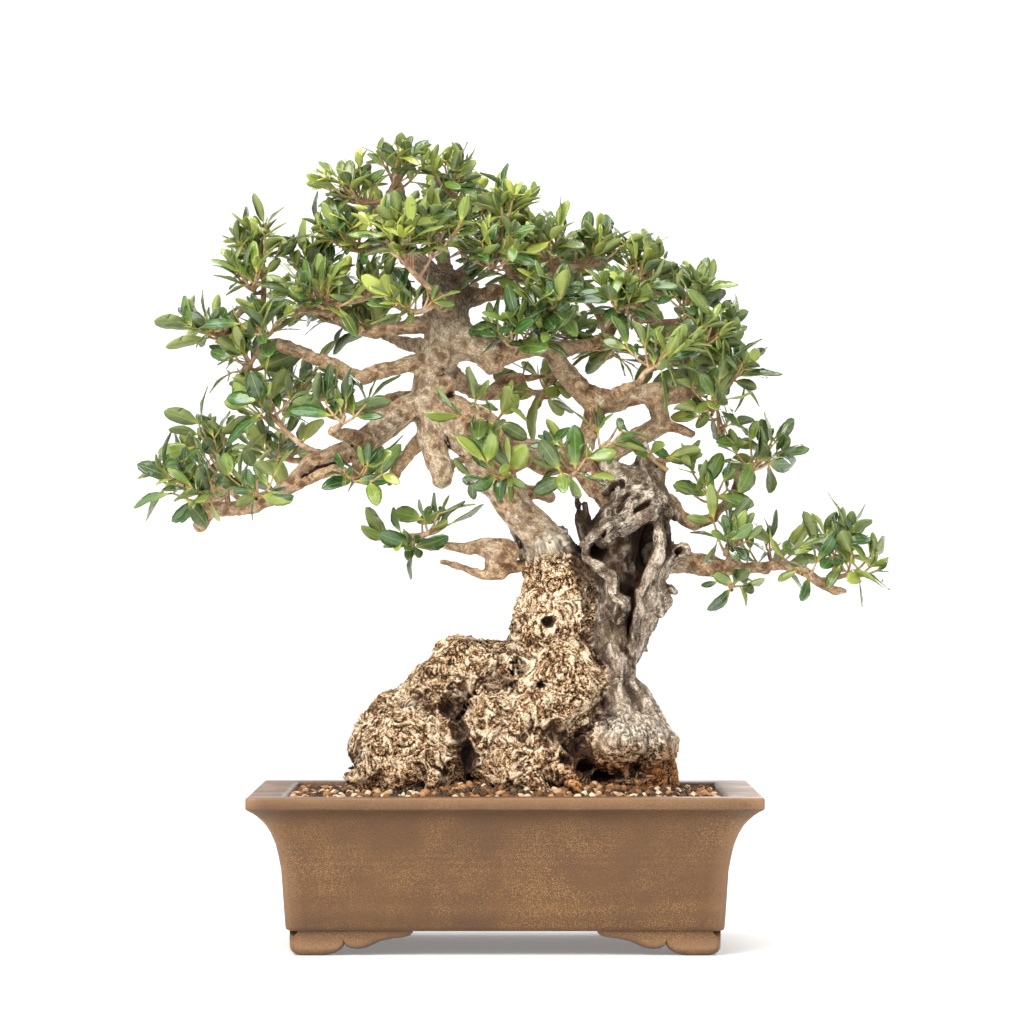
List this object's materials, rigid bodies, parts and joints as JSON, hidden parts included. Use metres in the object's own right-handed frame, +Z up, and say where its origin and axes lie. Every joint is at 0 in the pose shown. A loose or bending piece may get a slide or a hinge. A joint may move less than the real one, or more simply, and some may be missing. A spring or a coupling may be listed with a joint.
{
  "type": "bonsai tree",
  "caption": "Old olive bonsai with a burled base, a hollow dead trunk beside the live one and leafy sprays, in an unglazed rectangular pot on cloud feet.",
  "frame": {"origin": "on the ground under the middle of the whole outline", "axes": "+Z up, +X to the right of the front view, +Y to the back"},
  "size_m": [0.4562, 0.2284, 0.4912],
  "materials": {
    "clay": "unglazed fired clay, matt with a slight sheen",
    "screen": "dark moulded mesh",
    "soil": "loose cream, tan and brown grains with dark grit",
    "bark": "rugged bark over burls, grey weathered deadwood",
    "leaf": "glossy green above, matt olive green below"
  },
  "bodies": {
    "root": {"pot": "clay", "drain_screen_left": "screen", "drain_screen_right": "screen", "soil": "soil", "trunk": "bark", "spray_crown_top": "leaf", "spray_crown_peak": "leaf", "spray_crown_left": "leaf", "spray_crown_front": "leaf", "spray_crown_right": "leaf", "spray_crown_back": "leaf", "spray_crown_back_left": "leaf", "spray_right_high": "leaf", "spray_right_high_front": "leaf", "spray_right_high_back": "leaf", "spray_right_upper": "leaf", "spray_right_far_top": "leaf", "spray_right_far": "leaf", "spray_right_far_back": "leaf", "spray_right_front": "leaf", "spray_right_tuft": "leaf", "spray_left_high_far": "leaf", "spray_left_high_in": "leaf", "spray_left_high_tip": "leaf", "spray_left_mid": "leaf", "spray_left_low": "leaf", "spray_left_low_front": "leaf", "spray_left_far": "leaf", "spray_left_far_front": "leaf", "spray_left_far_back": "leaf", "spray_left_under": "leaf", "spray_left_back": "leaf", "spray_left_back_low": "leaf", "spray_left_back_high": "leaf", "spray_centre_front": "leaf", "spray_centre_mid": "leaf", "spray_centre_low": "leaf", "spray_centre_tip": "leaf", "spray_centre_right": "leaf", "spray_centre_back": "leaf", "spray_low_left": "leaf", "spray_low_right_top": "leaf", "spray_low_right_upper": "leaf", "spray_low_right_front": "leaf", "spray_low_right_back": "leaf", "spray_low_right_under": "leaf", "spray_low_right_end": "leaf"}
  },
  "joints": []
}
